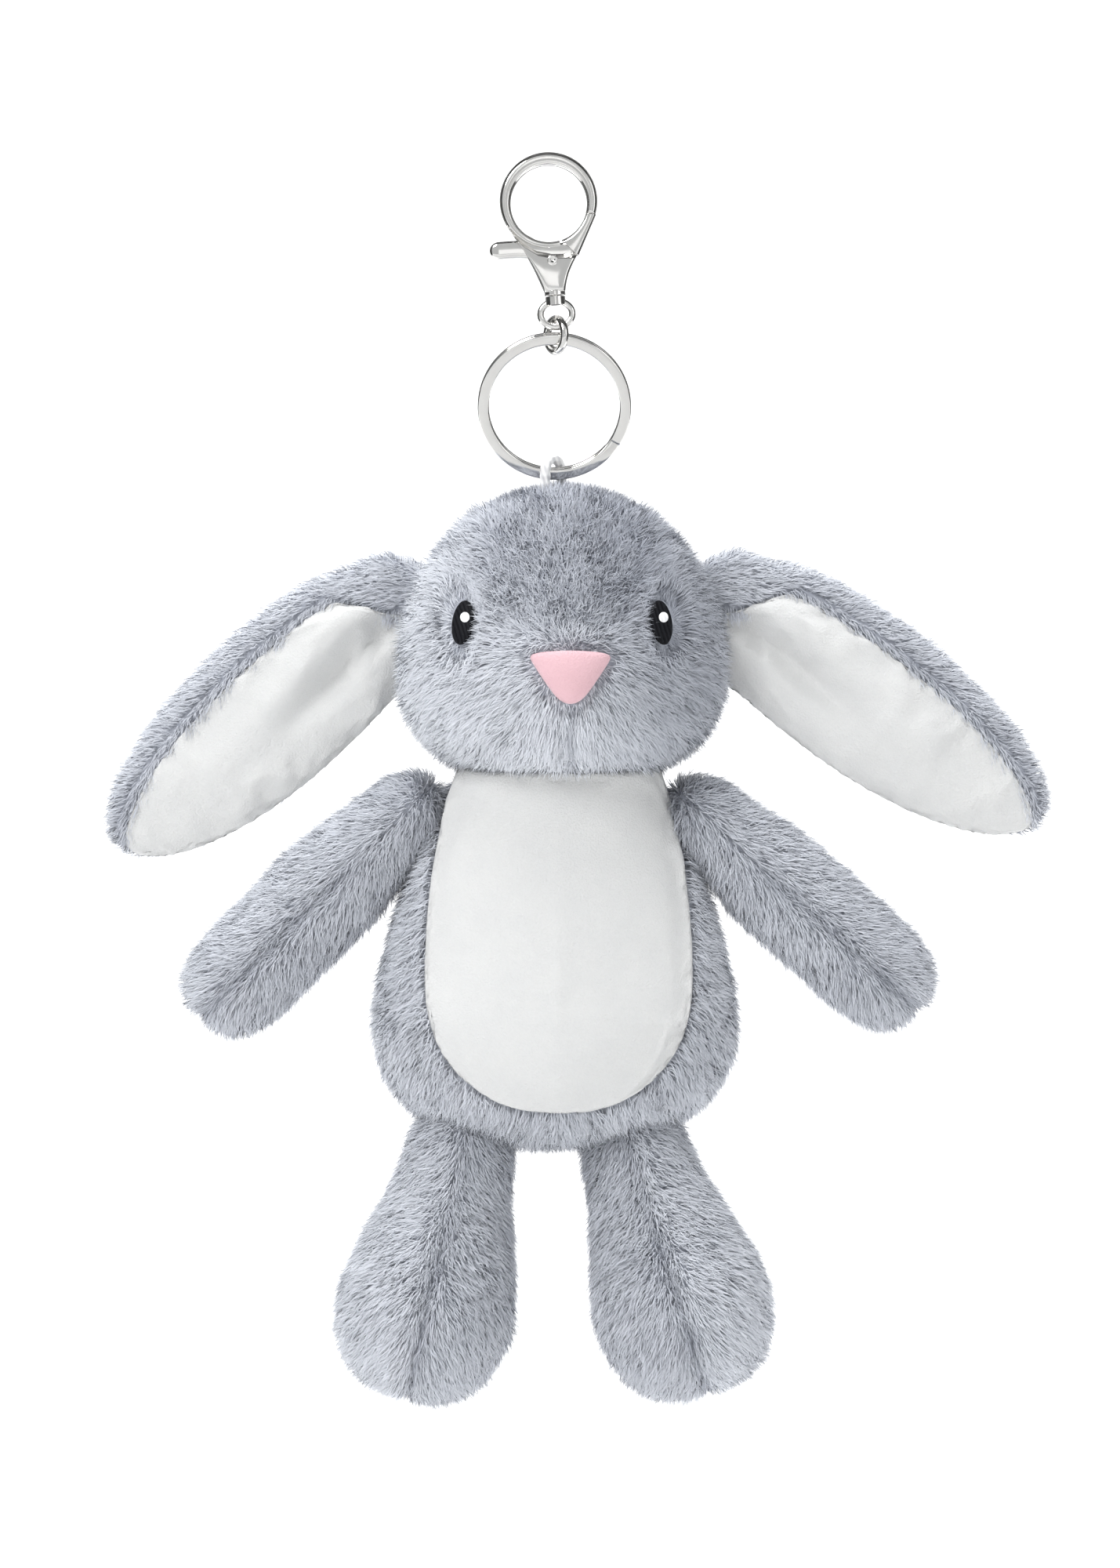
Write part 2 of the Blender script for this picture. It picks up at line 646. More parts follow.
def nosePad():
    # a pillow over an upside-down triangle with round corners, sewn down at its rim
    rise = np.linspace(0, 1, 40)
    z = noseLow[2] + (noseHigh[2] - noseLow[2]) * (0.5 - 0.5 * np.cos(math.pi * rise))
    half = noseHalf(z) + 0.15 * mm
    angle = np.linspace(0, 2 * math.pi, 72, endpoint=False)
    x = noseAt[0] + half[:, None] * np.sin(angle)
    plump = 2.6 * mm + 1.5 * mm * np.sin(math.pi * rise)[:, None] ** 0.5
    crown = plump * np.maximum(np.cos(angle), 0) ** 0.45
    y = headFront(x, z[:, None] + 0 * x) - crown + 1.2 * mm * (np.cos(angle) < 0)
    rows = np.stack([x, y, z[:, None] + 0 * x], -1)
    vertices, faces = closedSkin(pinched(rows))
    return addPiece("nose_pad", vertices, faces, "nose", "head", ("nose",))


nosePad()
print("head made")

torsoLow, torsoHigh = span("torso_panel_left", "torso_panel_right")
tummyLow, tummyHigh = span("tummy_panel")
torso = {
    "pileRoom": 2.2 * mm,
    "taper": 0.001324,
    "bottomPower": 2.4,
    "pile": 4.2 * mm,
    "top": -108 * mm,
    "furTop": -106 * mm,
    "tummyWidest": -150.0 * mm,
    "partEnd": -160 * mm,
    "lightFrom": -180 * mm,
    "lightTo": -130 * mm,
    "widestRise": 22.8 * mm,
    "tummyTopRise": 62 * mm,
    "tummyProud": 1.5 * mm,
    "tummyCrown": 2.2 * mm,
}
torsoX = (torsoLow[0] + torsoHigh[0]) / 2
torsoY = headY
torsoWide = (torsoHigh[0] - torsoLow[0]) / 2 - torso["pileRoom"] + 1 * mm
torsoDeep = torsoHigh[1] - torsoY - torso["pileRoom"] + 0.5 * mm
torsoBottom = torsoLow[2] + torso["pileRoom"] - 0.9 * mm
torsoZ = torsoBottom + torso["widestRise"]


def torsoSize(z):
    # share of the torso's width: a pear above the widest level, a square round below it
    high = np.maximum(z - torsoZ, 0) / mm
    lower = np.clip((torsoZ - z) / (torsoZ - torsoBottom), 0, 1)
    power = torso["bottomPower"]
    return (1 - torso["taper"] * high**1.5) * (1 - lower**power) ** (1 / power)


def torsoFront(x, z):
    share = np.maximum(torsoSize(z), 1e-6)
    level = np.clip((x - torsoX) / (torsoWide * share), -0.98, 0.98)
    return torsoY - torsoDeep * share * np.sqrt(1 - level**2)


def torsoSkin():
    turn = np.linspace(0, math.pi / 2, 30)
    z = np.concatenate([
        np.linspace(torso["top"], torsoZ, 46),
        torsoZ - (torsoZ - torsoBottom) * np.sin(turn[1:]),
    ])
    share = torsoSize(z) * np.sqrt(np.clip((torso["top"] - z) / (7 * mm), 0, 1))
    share[0] = 0
    middle = np.stack([np.full(len(z), torsoX), np.full(len(z), torsoY), z], -1)
    rows = sleeve(middle, right, -back, torsoWide * share, torsoDeep * share, 120)
    return addSkin("torso_skin", rows, "torso", ("torso_stuffing",))


tummyX = (tummyLow[0] + tummyHigh[0]) / 2
tummyWide = (tummyHigh[0] - tummyLow[0]) / 2 - 0.2 * mm
tummyZ = torso["tummyWidest"]
tummyDown = tummyZ - tummyLow[2]


def tummyHalf(z):
    # half width of the tummy panel: a long egg whose top is hidden under the chin
    lower = np.clip((tummyZ - z) / tummyDown, 0, 1)
    upper = np.clip((z - tummyZ) / torso["tummyTopRise"], 0, 1)
    return tummyWide * (1 - lower**2.3) ** (1 / 2.3) * np.sqrt(1 - upper**2)


def tummyPanel():
    # the velour panel, crowned over the torso's front and turned in at its seam
    rise = np.linspace(0, 1, 90)
    span = torso["top"] - 1 * mm - tummyLow[2]
    z = tummyLow[2] + span * (1 - np.cos(math.pi * rise / 1.6)) / (1 - math.cos(math.pi / 1.6))
    half = np.maximum(tummyHalf(z), 1e-6)
    angle = np.linspace(0, 2 * math.pi, 160, endpoint=False)
    level = np.sin(angle)
    x = tummyX + half[:, None] * level
    height = z[:, None] + 0 * x
    edge = np.clip(1 - np.abs(level), 0, 1) ** 0.35
    ends = np.clip(half / tummyWide, 0, 1)[:, None] ** 0.5
    crown = torso["tummyProud"] + torso["tummyCrown"] * edge * ends
    crown = crown + 0.35 * mm * waves(np.stack([x, 0 * x, height], -1), 26 * mm, 31)
    proud = crown * np.minimum(1, edge * 1.6 + 0.2)
    y = torsoFront(x, height) - np.where(np.cos(angle) > 0, proud, -1.5 * mm)
    rows = pinched(np.stack([x, y, height], -1))
    vertices, faces = closedSkin(rows)
    piece = addPiece("tummy_velour", vertices, faces, "velour", None, ("tummy_panel",))
    flatRows = rows[1:-1].reshape(-1, 3)
    seamRows = np.concatenate([[True], (np.abs(np.tile(level, len(z) - 2)) > 0.985), [True]])
    seamRows[1:-1] |= flatRows[:, 1] > torsoFront(flatRows[:, 0], flatRows[:, 2]) - 0.4 * mm
    puff(piece, seamRows)
    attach(piece, "torso")
    return piece


def torsoFur(panel):
    # combed down and away from the tummy's seam; longer beside the seam, where it parts
    def answer(points, normals):
        x, z = points[:, 0] - torsoX, points[:, 2]
        front = points[:, 1] < torsoY - 2 * mm
        inside = np.abs(points[:, 0] - tummyX) < tummyHalf(z) - 0.6 * mm
        inside &= (z > tummyLow[2] + 0.8 * mm) & front
        kept = ~inside & ((x < 0) == (panel == "left")) & (z < torso["furTop"])
        gap = np.abs(points[:, 0] - tummyX) - tummyHalf(z)
        low = smooth(tummyZ - z, 0, 20 * mm)
        outwards = np.sign(points[:, 0] - tummyX)[:, None] * right * (1 - 0.6 * low[:, None])
        comb = 0.55 * outwards - up * (0.55 + 0.2 * low[:, None])
        comb = np.where(front[:, None], comb, -0.9 * up)
        groove = np.exp(-(((gap - 5.5 * mm) / (1.2 * mm)) ** 2)) * front
        groove = groove * (z > torso["partEnd"])
        light = -0.12 * groove - 0.05 + 0.05 * smooth(z, torso["lightFrom"], torso["lightTo"])
        return rule(kept, comb, torso["pile"] * (1 - 0.2 * groove), light, len(points))
    return answer


torsoPiece = torsoSkin()
tummyPanel()
growFur("fur_torso_left", torsoPiece, "torso", torsoFur("left"), 21, ("torso_panel_left",))
growFur("fur_torso_right", torsoPiece, "torso", torsoFur("right"), 22, ("torso_panel_right",))


def tailPom():
    low, high = span("tail")
    middle = np.array((torsoX, high[1] - 6.2 * mm, (low[2] + high[2]) / 2))
    rise = np.linspace(0, math.pi, 30)
    line = middle + np.outer(-np.cos(rise) * 5.2 * mm, up)
    rows = sleeve(line, right, -back, 5.6 * mm * np.sin(rise), 5.2 * mm * np.sin(rise), 48)
    skin = addSkin("tail_skin", rows, "torso", (), "whiteFur")

    def answer(points, normals):
        return rule(1.0, -0.3 * up, 4.6 * mm, 0.1, len(points))
    growFur("fur_tail", skin, "torso", answer, 24, ("tail",), "whiteFur", dense=1.3)


tailPom()
print("torso made")

limbs = {
    "arm": {
        "angle": {-1: 45.0, 1: 42.0},
        "length": 58 * mm,
        "root": 8.6 * mm,
        "wide": 11.2 * mm,
        "deep": 8.6 * mm,
        "deepRoom": 1.6 * mm,
        "swollenAt": 22 * mm,
        "forward": 0.0,
        "rootRound": 9 * mm,
        "tipRound": 13 * mm,
        "tipPower": 2.4,
        "pile": 4.2 * mm,
        "seam": (1.4 * mm, 12 * mm, 24 * mm, 0.9 * mm),
        "seamBehind": True,
        "grid": (70, 80),
        "fill": 0.7,
        "seed": 40,
        "panels": {"upper": -0.02, "lower": -0.1},
    },
    "leg": {
        "angle": {-1: 77.5, 1: 73.0},
        "length": 49.8 * mm,
        "root": 11.0 * mm,
        "wide": 17.6 * mm,
        "deep": 16.4 * mm,
        "deepRoom": 2.0 * mm,
        "swollenAt": 33 * mm,
        "forward": 6.0 * mm,
        "rootRound": 11 * mm,
        "tipRound": 16.8 * mm,
        "tipPower": 2.3,
        "pile": 4.4 * mm,
        "seam": (1.5 * mm, 8 * mm, 30 * mm, 1.2 * mm),
        "seamBehind": False,
        "grid": (80, 88),
        "fill": 0.75,
        "seed": 60,
        "panels": {"outer": 0.07, "inner": -0.12},
    },
}
limbRoom = 2.0 * mm


def limbRule(seam, along, across, pile, panel, shade):
    # combed along the limb and away from the seam down its middle, where the pile parts
    def answer(points, normals):
        offset = (points - seam) @ across
        reach = (points - seam) @ along
        front = points[:, 1] < seam[1]
        kept = (offset >= 0) if panel in ("upper", "outer") else (offset < 0)
        sign = np.where(offset >= 0, 1.0, -1.0)[:, None]
        flow = smooth(np.abs(offset), 0, 5 * mm)[:, None]
        comb = 0.75 * along + 0.55 * sign * across * (0.4 + 0.6 * flow) - 0.1 * up
        groove = np.exp(-((offset / (1.3 * mm)) ** 2)) * smooth(reach, 8 * mm, 20 * mm)
        light = -0.3 * groove + shade * front - 0.1 * smooth(8 * mm - reach, 0, 8 * mm)
        return rule(kept, comb, pile * (1 - 0.25 * groove), light, len(points))
    return answer


def limbPieces(kind, side, name):
    # an oval sleeve that swells from a ball at its root, bends forward and closes in a round tip;
    # the seam between its two panels is a groove down its front
    limb, seam = limbs[kind], jointOf(f"{kind}_swing_{name}")[0]
    angle = math.radians(limb["angle"][side])
    along = np.array((side * math.cos(angle), 0, -math.sin(angle)))
    across = np.cross(back, along)
    count, around = limb["grid"]
    reach = (1 - np.cos(np.linspace(0, math.pi, count))) / 2
    place = -limb["root"] + limbRoom + reach * (limb["length"] + limb["root"] - 2 * limbRoom)
    swell = smooth(place, 0, limb["swollenAt"])
    root = np.clip((place - place[0]) / limb["rootRound"], 0, 1)
    tip = np.clip((place[-1] - place) / limb["tipRound"], 0, 1)
    power = limb["tipPower"]
    close = np.sqrt(1 - (1 - root) ** 2) * (1 - (1 - tip) ** power) ** (1 / power)
    close[0] = close[-1] = 0
    half = (limb["root"] + (limb["wide"] - limb["root"]) * swell - limbRoom) * close
    deep = (limb["root"] + (limb["deep"] - limb["root"]) * swell - limb["deepRoom"]) * close
    line = seam + np.outer(place, along) - np.outer(limb["forward"] * swell, back)
    rows = sleeve(line, across, -back, half, deep, around)
    seamWide, seamFrom, seamTo, seamDeep = limb["seam"]
    groove = np.exp(-((((rows - seam) @ across) / seamWide) ** 2))
    inwards = np.sign(seam[1] - rows[..., 1])
    if not limb["seamBehind"]:
        inwards = np.maximum(inwards, 0)
    rows[..., 1] += seamDeep * groove * smooth(place, seamFrom, seamTo)[:, None] * inwards
    body = f"{kind}_{name}"
    skin = addSkin(f"{kind}_skin_{name}", rows, body, (f"{kind}_stuffing_{name}",))
    outwards = across[2] if kind == "arm" else across[0] * side
    across = across if outwards > 0 else -across
    for k, (panel, shade) in enumerate(limb["panels"].items()):
        answer = limbRule(seam, along, across, limb["pile"], panel, shade)
        growFur(f"fur_{kind}_{panel}_{name}", skin, body, answer, limb["seed"] + 4 * side + k,
                (f"{kind}_panel_{panel}_{name}",))


for side, name in sides:
    for kind in limbs:
        limbPieces(kind, side, name)
print("limbs made")

ear = {
    "drop": {-1: 42.0, 1: 36.0},
    "extra": {-1: 0.0, 1: 2.5 * mm},
    "reach": 35.5 * mm,
    "lift": 2.5 * mm,
    "half": 15.4 * mm,
    "inner": 50 * mm,
    "outer": 40.5 * mm,
    "thick": 4.0 * mm,
    "hem": 7.5 * mm,
    "pileRoom": 1.6 * mm,
    "pile": 3.6 * mm,
    "start": -5 * mm,
}


def earPieces(side, name):
    seam = jointOf(f"ear_fold_{name}")[0]
    drop = math.radians(ear["drop"][side])
    along = np.array((side * math.cos(drop), 0, -math.sin(drop)))
    across = np.cross(back, along)
    across = across if across[2] > 0 else -across
    length = ear["reach"] + ear["outer"] + ear["extra"][side]

    def halfAt(place):
        # half width along the ear: one oval towards the head, a shorter one towards the tip
        t = place - ear["reach"]
        scale = np.where(t < 0, ear["inner"], ear["outer"] + ear["extra"][side])
        return ear["half"] * np.sqrt(np.clip(1 - (t / scale) ** 2, 0, 1))

    def hemAt(reach):
        # where the fur's edge runs across the ear's front, from the ear's middle line
        rootSide = smooth(14 * mm - reach, 0, 10 * mm)
        hem = ear["hem"] * (0.55 + 0.45 * halfAt(reach) / ear["half"])
        return halfAt(reach) - hem - 8 * mm * rootSide

    turn = np.linspace(0, math.pi, 84)
    place = ear["start"] + (length - ear["start"] - 0.5 * mm) * (1 - np.cos(turn)) / 2
    half = halfAt(place) * np.sqrt(np.clip((place - ear["start"]) / (5 * mm), 0, 1))
    half[0] = half[-1] = 0
    deep = ear["thick"] * np.minimum(1, (half / ear["half"]) ** 0.5 * 1.05)
    line = seam + np.outer(place, along) + np.outer(ear["lift"] * smooth(place, 0, 20 * mm), across)
    between = half > 0
    narrow, thin = half - 0.6 * ear["pileRoom"] * between, deep - 0.6 * mm * between
    rows = sleeve(line, across, -back, narrow, thin, 96)
    shift = (rows - line[:, None]) @ across
    hemLine = hemAt(place)[:, None]
    covered = (rows[..., 1] < seam[1]) * smooth(hemLine + 1.5 * mm - shift, 0, 4 * mm)
    rows[..., 1] = seam[1] + (rows[..., 1] - seam[1]) * (1 - 0.95 * covered)
    skin = addSkin(f"ear_skin_{name}", pinched(rows), f"ear_{name}", ())

    # lining: a velour leaf in front of the skin, from the fur's edge to below the lower edge
    v = np.linspace(0, 2 * math.pi, 100, endpoint=False)
    level = np.cos(v)
    spanLow = -(half + 0.35 * mm * (half > 0))
    spanHigh = np.maximum(hemAt(place) + 0.8 * mm, spanLow + 0.1 * mm)
    shift = (spanHigh + spanLow)[:, None] / 2 + (spanHigh - spanLow)[:, None] / 2 * level
    liningRows = line[:, None] + shift[..., None] * across
    reachGrid = place[:, None] + 0 * shift
    share = np.clip(shift / np.maximum(half, 1e-6)[:, None], -1, 1)
    bulge = deep[:, None] * np.sqrt(1 - share**2)
    rim = np.clip(1 - np.abs(level), 0, 1) ** 0.4
    fold = np.exp(-((shift + 4 * mm + 0.10 * (reachGrid - 22 * mm)) / (2.6 * mm)) ** 2)
    fold = fold * smooth(44 * mm - reachGrid, 0, 24 * mm) * 3.4 * mm
    ridge = np.exp(-((shift - 2.5 * mm + 0.12 * (reachGrid - 22 * mm)) / (3.6 * mm)) ** 2)
    ridge = ridge * smooth(50 * mm - reachGrid, 0, 26 * mm) * 2.1 * mm
    dimple = 0.5 * mm * waves(np.stack([reachGrid, shift, 0 * shift], -1), 24 * mm, 80 + side)
    front = bulge + (0.9 * mm + ridge - fold + dimple) * rim
    pushed = np.where(np.sin(v) >= 0, front, bulge * 0.2 - 0.4 * mm)
    liningRows[..., 1] -= pushed
    vertices, faces = closedSkin(pinched(liningRows))
    replaced = (f"ear_lining_{name}",)
    lining = addPiece(f"ear_velour_{name}", vertices, faces, "velour", None, replaced)
    behind = np.tile(np.sin(v) < 0.12, len(place) - 2)
    puff(lining, np.concatenate([[True], behind, [True]]), 3.0, 0.06, 0.9 * mm)
    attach(lining, f"ear_{name}")

    def answer(points, normals):
        reach = (points - seam) @ along
        offset = (points - seam) @ across - ear["lift"] * smooth(reach, 0, 20 * mm)
        front = normals[:, 1] < 0.15
        beyond = offset - hemAt(reach)
        kept = ~(front & (beyond < 0))
        kept = kept & ~((offset < -halfAt(reach) * 0.86) & front)
        comb = 0.85 * along + 0.5 * across
        atHem = ((beyond < 2.6 * mm) & front)[:, None]
        comb = np.where(atHem, 0.75 * along - 0.45 * across, comb)
        part = np.exp(-(((beyond - 2.4 * mm) / (1.1 * mm)) ** 2)) * front
        light = -0.22 * part - 0.03 + 0.06 * smooth(offset, 6 * mm, 13 * mm)
        return rule(kept, comb, ear["pile"] * (1 - 0.2 * part), light, len(points))
    growFur(f"fur_ear_{name}", skin, f"ear_{name}", answer, 90 + side, (f"ear_back_{name}",))


for side, name in sides:
    earPieces(side, name)
print("ears made")

plated = {"clasp_spring": "steel", "swivel_eye": "chrome", "connector_link": "chrome"}
for node, paint in plated.items():
    shown = frame["nodes"][node]
    shown.data.materials.clear()
    shown.data.materials.append(paints[paint])

clasp = {
    "opening": 7.4 * mm,
    "outer": 9.5 * mm,
    "rise": 0.6 * mm,
    "hookHalf": 1.4 * mm,
    "nose": -17.6,
    "heel": -78.0,
    "plateHalf": 2.2 * mm,
    "plateTop": 9.2 * mm,
    "chamfer": 0.13,
    "shoulder": (4.95 * mm, -10.1 * mm),
    "neck": 2.05 * mm,
    "neckTop": -17.2 * mm,
    "neckEnd": -17.95 * mm,
    "leverHalf": 1.7 * mm,
    "leverEnd": -12.1 * mm,
    "leverTip": 1.9 * mm,
    "rivet": 1.05 * mm,
    "rivetZ": -11.1 * mm,
}
claspUp = jointOf("swivel_turn")[1]
claspRight = np.cross(back, claspUp)


def onClasp(x, z, y=0.0):
    # from the clasp's own axes, which lean with it, to the frame's
    x, z, y = np.broadcast_arrays(x, z, y)
    return x[..., None] * claspRight + z[..., None] * claspUp + y[..., None] * back


def roundBox(count, power):
    # a rounded square profile, from -1 to 1 both ways
    angle = np.linspace(0, 2 * math.pi, count, endpoint=False)
    x, y = np.sin(angle), np.cos(angle)
    return np.sign(x) * np.abs(x) ** (2 / power), np.sign(y) * np.abs(y) ** (2 / power)


def claspHook():
    # a cast ring, thicker at its top, from the gate's nose over the top to below the plate
    turn = np.radians(np.linspace(clasp["nose"], clasp["heel"] + 360, 200))
    inner = clasp["opening"]
    outer = clasp["outer"] + clasp["rise"] * np.sin(turn)
    x, y = roundBox(36, 2.3)
    radius = ((inner + outer) / 2)[:, None] + ((outer - inner) / 2)[:, None] * x
    taper = np.minimum(1, smooth(np.degrees(turn), 285, 230) * 0.35 + 0.65)[:, None]
    nose = smooth(np.degrees(turn), clasp["nose"], clasp["nose"] + 3)
    taper = taper * (0.8 + 0.2 * nose)[:, None]
    crease = 1 - 0.12 * np.exp(-((x / 0.22) ** 2)) * (y > 0)
    rows = onClasp(radius * np.cos(turn)[:, None], radius * np.sin(turn)[:, None],
                   -clasp["hookHalf"] * y * taper * crease)
    vertices, faces = closedSkin(capped(rows))
    addPiece("clasp_hook", vertices, faces, "chrome", "clasp")


def claspPlate():
    # the funnel: its upper edge follows the opening and then runs level to the shoulder
    x, y = roundBox(64, 5.0)
    share = (x + 1) / 2
    face = np.linspace(0.135, 0.97, 34)
    down = np.concatenate([np.linspace(0, 0.13, 8), face, np.linspace(0.97, 1, 5)[1:]])
    turn = np.radians(-160 + 73 * np.minimum(share / 0.72, 1))
    radius = clasp["plateTop"] + 0.8 * mm * smooth(share, 0.3, 0.72)
    level = smooth(share, 0.72, 1.0)
    topX = radius * np.cos(turn) * (1 - level) + clasp["shoulder"][0] * level
    topZ = radius * np.sin(turn) * (1 - level) + clasp["shoulder"][1] * level
    lowX = clasp["neck"] * x
    t = down[:, None]
    bow = 0.5 * mm * np.sin(math.pi * t) * x
    placeX = topX * (1 - t) + lowX * t - bow
    placeZ = topZ * (1 - t) + clasp["neckTop"] * t
    chamfer = 0.55 + 0.45 * np.clip(t / clasp["chamfer"], 0, 1)
    swell = 0.82 + 0.18 * np.sin(math.pi * np.clip(t, 0, 1)) ** 0.5
    rows = onClasp(placeX, placeZ, -clasp["plateHalf"] * y * chamfer * swell)
    vertices, faces = closedSkin(capped(rows))
    addPiece("clasp_plate", vertices, faces, "chrome", "clasp", ("clasp_frame",))
    z = np.linspace(clasp["neckTop"] + 0.5 * mm, clasp["neckEnd"], 12)
    wide = np.full(12, clasp["neck"])
    wide[[0, -1]] = 0
    rows = sleeve(np.outer(z, claspUp), claspRight, -back, wide, wide * 0.98, 48)
    rows[1] = rows[2]
    vertices, faces = closedSkin(rows)
    addPiece("clasp_neck", vertices, faces, "chrome", "clasp")


def claspGate():
    # the gate closes the ring on its right side; its lever stands out on the left
    turn = np.linspace(0, 1, 60)
    bend = np.radians(-18.5 - 56 * turn)
    innerX, innerZ = 7.45 * mm * np.cos(bend), 7.45 * mm * np.sin(bend)
    outerX = (9.05 - 4.0 * turn) * mm
    outerZ = (-2.75 - 7.8 * turn) * mm
    x, y = roundBox(36, 3.4)
    mix = (x[None] + 1) / 2
    placeX = innerX[:, None] * (1 - mix) + outerX[:, None] * mix
    placeZ = innerZ[:, None] * (1 - mix) + outerZ[:, None] * mix
    rows = onClasp(placeX, placeZ, -1.32 * mm * y)
    vertices, faces = closedSkin(capped(rows))
    addPiece("gate_arm", vertices, faces, "chrome", "gate", ("clasp_gate",))
    along = 1 - np.sin(np.linspace(0, math.pi / 2, 60))
    place = clasp["leverEnd"] + (4.5 * mm - clasp["leverEnd"]) * along
    tip = np.clip((place - clasp["leverEnd"]) / clasp["leverTip"], 0, 1)
    close = np.sqrt(1 - (1 - tip) ** 2)
    close[0] = 0
    line = onClasp(place, -9.4 * mm + 1.0 * mm * smooth(-place, -2 * mm, 8 * mm))
    rows = sleeve(line, claspUp, -back, clasp["leverHalf"] * close, 0.95 * mm * close, 40, 3.0)
    vertices, faces = closedSkin(rows)
    addPiece("gate_lever", vertices, faces, "chrome", "gate")


def claspRivet():
    # a turned pin through the plate, with a low domed head and a dimple at each end
    ends = clasp["plateHalf"] + 0.32 * mm
    share = np.array((0, 0.25, 0.4, 0.55, 0.8, 0.95, 1.0, 1.0))
    proud = ends + 0.12 * mm * np.array((-1.6, -1.2, 0.4, 1.0, 0.8, 0.2, -1.0, -4.0))
    radius = clasp["rivet"] * np.concatenate([share, share[::-1]])
    y = np.concatenate([-proud, proud[::-1]])
    angle = np.linspace(0, 2 * math.pi, 48, endpoint=False)
    across, rise = radius[:, None] * np.cos(angle), radius[:, None] * np.sin(angle)
    rows = onClasp(across, clasp["rivetZ"] + rise, y[:, None])
    vertices, faces = closedSkin(rows)
    addPiece("rivet_pin", vertices, faces, "chrome", "clasp", ("clasp_rivet",))


claspHook()
claspPlate()
claspGate()
claspRivet()


def splitRing():
    # two turns of flat wire: the path runs twice round, and steps across where the turns overlap
    low, high = span("split_ring")
    centre = (low + high) / 2
    normal = unit(jointOf("ring_swing")[1])
    band, coil, start = 2.2 * mm, 1.02 * mm, -0.62
    mean = (high[0] - low[0]) / 2 - band / 2
    down = unit(np.cross(right, normal))
    turn = np.linspace(math.radians(4), math.radians(716), 420)
    step = smooth(turn, math.radians(345), math.radians(375)) - 0.5
    radial = np.outer(np.cos(turn + start), right) + np.outer(np.sin(turn + start), down)
    path = centre + mean * radial + np.outer(step * coil, normal)
    corner = np.linspace(0, 2 * math.pi, 28, endpoint=False)
    flatX = np.sign(np.cos(corner)) * np.abs(np.cos(corner)) ** 0.62 * band / 2
    flatY = np.sign(np.sin(corner)) * np.abs(np.sin(corner)) ** 0.62 * coil / 2 * 0.98
    rings = path[:, None] + flatX[None, :, None] * radial[:, None] + flatY[None, :, None] * normal
    poles = np.repeat(path[[0, -1], None], 28, 1)
    vertices, faces = closedSkin(np.concatenate([poles[:1], rings, poles[1:]]))
    addPiece("split_ring_coil", vertices, faces, "chrome", "ring", ("split_ring",))


splitRing()


def cordLoop():
    # a knitted cord: two legs from the head's seam that meet in an arch over the split ring
    low, high = span("hanging_loop")
    cord = 0.95 * mm
    middle = (low + high) / 2
    top = high[2] - cord
    face = np.array((math.sin(math.radians(32)), math.cos(math.radians(32)), 0))
    reach = 3.0 * mm
    bottom = low[2] - 2.2 * mm
    leg = np.linspace(bottom, top - reach, 40)
    arch = np.linspace(0, math.pi, 60)[1:-1]
    side = np.concatenate([np.full(40, 1.0), np.cos(arch), np.full(40, -1.0)])
    height = np.concatenate([leg, top - reach + reach * np.sin(arch), leg[::-1]])
    path = np.outer(side * reach, face) + np.outer(height, up) + np.array((middle[0], middle[1], 0))
    angle = np.linspace(0, 2 * math.pi, 30, endpoint=False)
    travel = np.concatenate([[0], np.cumsum(np.linalg.norm(np.diff(path, axis=0), axis=1))])
    twist = travel[:, None] / (0.55 * mm)
    knit = 1 + 0.13 * np.cos(3 * angle - twist) * np.cos(3 * angle + twist)
    profile = np.stack([cord * knit * np.cos(angle), cord * knit * np.sin(angle)], -1)
    vertices, faces = closedSkin(tube(path, profile))
    piece = addPiece("cord_loop", vertices, faces, "cord", None, ("hanging_loop",))
    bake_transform(piece)


cordLoop()
print("metal and cord made")

studio = {
    "wallAway": 0.55,
    "floorBelow": 0.05,
    "width": 4.0,
    "bend": 0.25,
    "lens": 150.0,
    "seenHeight": 307.7 * mm,
    "aim": (2.2 * mm, -112.9 * mm),
    "dimReach": 0.48,
    "nearSky": (0.88, 0.89, 0.90, 1),
    "farSky": (0.96, 0.98, 1.0, 1),
    "skyPower": 0.62,
}


def backdrop():
    # a pale sheet that runs along the floor and curves up behind; from behind it isn't seen
    floor = cadBox[0][2] - studio["floorBelow"]
    bend = studio["bend"]
    turn = np.linspace(0, math.pi / 2, 24)
    wall = studio["wallAway"]
    y = np.concatenate([[-1.6], wall + bend * np.sin(turn), [wall + bend]])
    z = np.concatenate([[floor], floor + bend * (1 - np.cos(turn)), [floor + 2.4]])
    across = np.array((-1, 1)) * studio["width"] / 2
    vertices = [(x, y[k], z[k]) for x in across for k in range(len(y))]
    count = len(y)
    faces = [(k, count + k, count + k + 1, k + 1) for k in range(count - 1)]
    mesh = bpy.data.meshes.new("backdrop")
    mesh.from_pydata(vertices, [], faces)
    mesh.polygons.foreach_set("use_smooth", np.ones(len(faces), bool))
    paint = Paint("paleSheet", Roughness=0.9, Base_Color=(0.94, 0.94, 0.94, 1))
    behind = paint.node("ShaderNodeNewGeometry", {}, {}, "Backfacing")
    clear = paint.node("ShaderNodeBsdfTransparent", {}, {}, 0)
    opaque = Link(paint, paint.shader.outputs[0])
    oneSided = paint.node("ShaderNodeMixShader", {}, {0: behind, 1: opaque, 2: clear})
    paint.tree.links.new(oneSided.socket, paint.tree.nodes["Material Output"].inputs["Surface"])
    mesh.materials.append(paint.material)
    linked("backdrop", mesh)


def areaLight(name, place, target, size, power):
    lamp = bpy.data.lights.new(name, "AREA")
    lamp.shape = "DISK"
    lamp.size = size
    lamp.energy = power
    holder = linked(name, lamp)
    holder.location = place
    aim = np.array(target) - np.array(place)
    holder.rotation_euler = Vector(aim).to_track_quat("-Z", "Y").to_euler()


